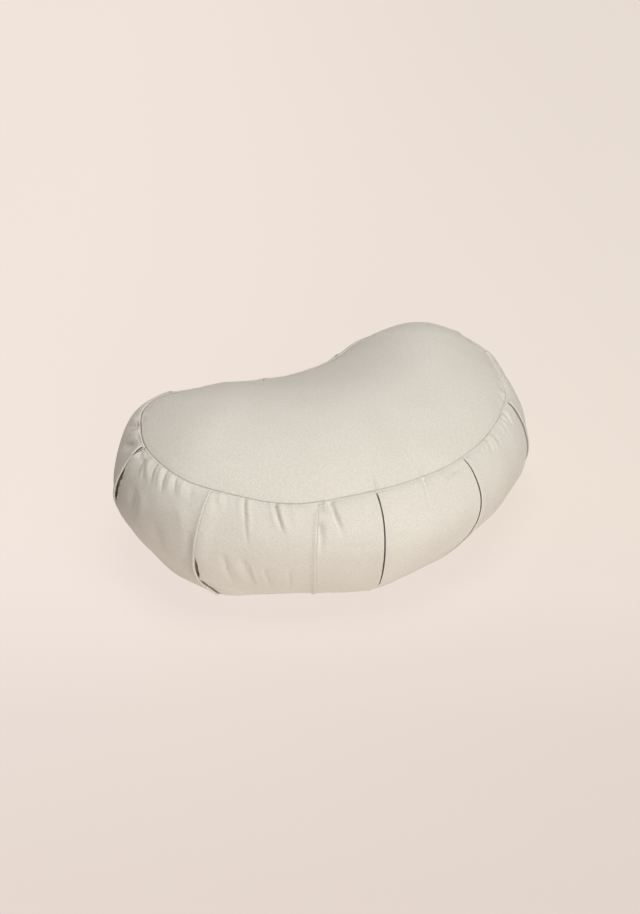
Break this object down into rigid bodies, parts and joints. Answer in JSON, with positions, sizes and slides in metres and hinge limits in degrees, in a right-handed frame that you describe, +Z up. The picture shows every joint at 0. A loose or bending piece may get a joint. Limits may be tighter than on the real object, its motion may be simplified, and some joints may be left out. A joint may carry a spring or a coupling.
{
  "type": "zafu meditation cushion",
  "caption": "Crescent-shaped filled cotton canvas floor cushion with a crowned top, a flat underside and a knife-pleated side band, for sitting in meditation.",
  "frame": {"origin": "centre of the bounding box in plan, on the surface that the cushion rests on", "axes": "+X along the cushion's length, +Z up; the convex front faces -Y and the hollow back +Y"},
  "size_m": [0.4431, 0.3034, 0.1663],
  "materials": {
    "band_canvas": "plain-weave cotton canvas, pale stone, matt",
    "panel_canvas": "plain-weave cotton canvas, pale stone, slightly heathered, matt"
  },
  "bodies": {
    "root": {"side_band": "band_canvas", "top_panel": "panel_canvas", "bottom_panel": "panel_canvas"}
  },
  "joints": []
}
